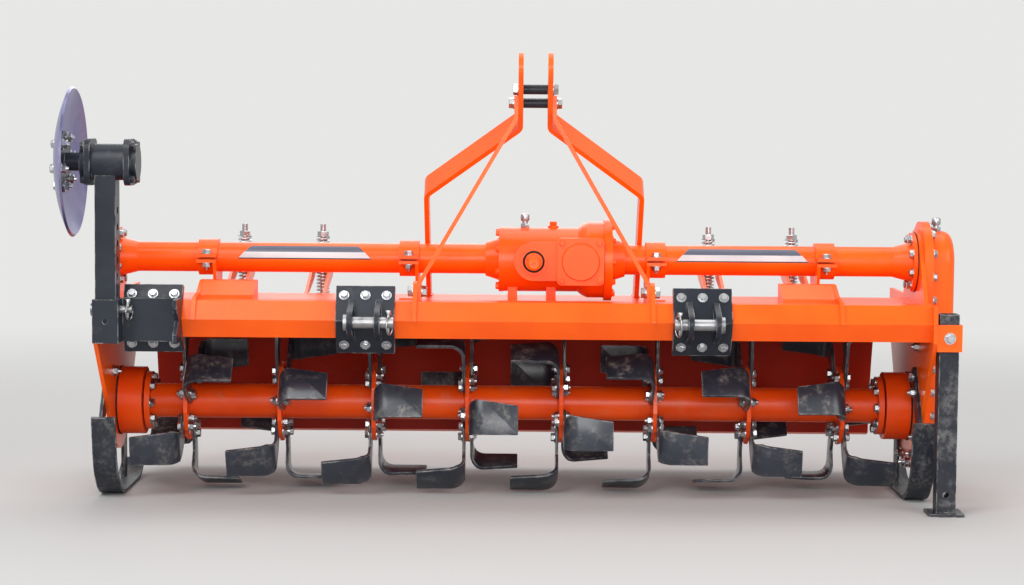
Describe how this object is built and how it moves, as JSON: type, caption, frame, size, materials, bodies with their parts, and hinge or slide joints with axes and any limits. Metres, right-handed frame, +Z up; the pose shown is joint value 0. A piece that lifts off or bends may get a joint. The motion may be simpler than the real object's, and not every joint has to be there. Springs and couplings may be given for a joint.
{
  "type": "rotary tiller with furrow disc",
  "caption": "Tractor-mounted rotary tiller: bladed rotor under a hood, geared side drive, leaning hitch mast, sprung trailing board, parking stand and a raised furrow disc.",
  "frame": {"origin": "middle of the overall box, on the floor", "axes": "+X to the right seen from the tractor, +Y rearwards, +Z up"},
  "size_m": [2.212, 0.9898, 1.1244],
  "materials": {
    "orange_paint": "gloss",
    "black_paint": "satin",
    "blade_steel": "satin",
    "disc_steel": "satin",
    "zinc": "plated",
    "spring_steel": "plated"
  },
  "bodies": {
    "frame": {"front_beam": "orange_paint", "hood": "orange_paint", "side_plate_left": "orange_paint", "side_plate_right": "orange_paint", "gear_case": "orange_paint", "gear_cover": "orange_paint", "bearing_hub_left": "orange_paint", "bearing_hub_right": "orange_paint", "gearbox": "orange_paint", "gearbox_cover": "orange_paint", "axle_tube_left": "orange_paint", "axle_tube_right": "orange_paint", "tube_clamps": "orange_paint", "tube_stands": "orange_paint", "mast_bar_left": "orange_paint", "mast_bar_right": "orange_paint", "mast_braces": "orange_paint", "mast_spacers": "black_paint", "hitch_bracket_left": "black_paint", "hitch_bracket_right": "black_paint", "hitch_pin_left": "zinc", "hitch_pin_right": "zinc", "disc_bracket": "black_paint", "arm_pin": "zinc", "disc_arm": "black_paint", "stand_sleeve": "orange_paint", "skid_left": "black_paint", "skid_right": "black_paint", "hinge_rod": "zinc", "spring_rods": "zinc", "rod_brackets": "orange_paint", "rod_springs": "spring_steel", "bearing_cap": "orange_paint", "deck_boxes": "orange_paint", "brace_lugs": "orange_paint"},
    "rotor": {"rotor_shaft": "orange_paint", "blades_left": "blade_steel", "blades_right": "blade_steel"},
    "input_shaft": {"input_shaft": "orange_paint"},
    "trailing_board": {"trailing_board": "orange_paint"},
    "disc": {"furrow_disc": "disc_steel", "disc_spindle": "black_paint"},
    "stand_leg": {"stand_leg": "black_paint"}
  },
  "joints": [
    {"name": "rotor_spin", "type": "hinge", "parent": "frame", "child": "rotor", "pos_m": [-0.006, 0.07709, 0.23], "axis": [1, 0, 0], "continuous": true},
    {"name": "input_spin", "type": "hinge", "parent": "frame", "child": "input_shaft", "pos_m": [0.04, -0.08291, 0.607], "axis": [0, -1, 0], "continuous": true},
    {"name": "board_hinge", "type": "hinge", "parent": "frame", "child": "trailing_board", "pos_m": [-0.006, 0.37709, 0.395], "axis": [1, 0, 0], "range_deg": [0, 32]},
    {"name": "disc_spin", "type": "hinge", "parent": "frame", "child": "disc", "pos_m": [-1.074, -0.31391, 0.853], "axis": [1, 0, 0], "continuous": true},
    {"name": "stand_slide", "type": "slide", "parent": "frame", "child": "stand_leg", "axis": [0, 0, 1], "range_m": [0, 0.3]}
  ],
  "couplings": [
    {"joint": "input_spin", "follows": "rotor_spin", "ratio": 2.57}
  ]
}
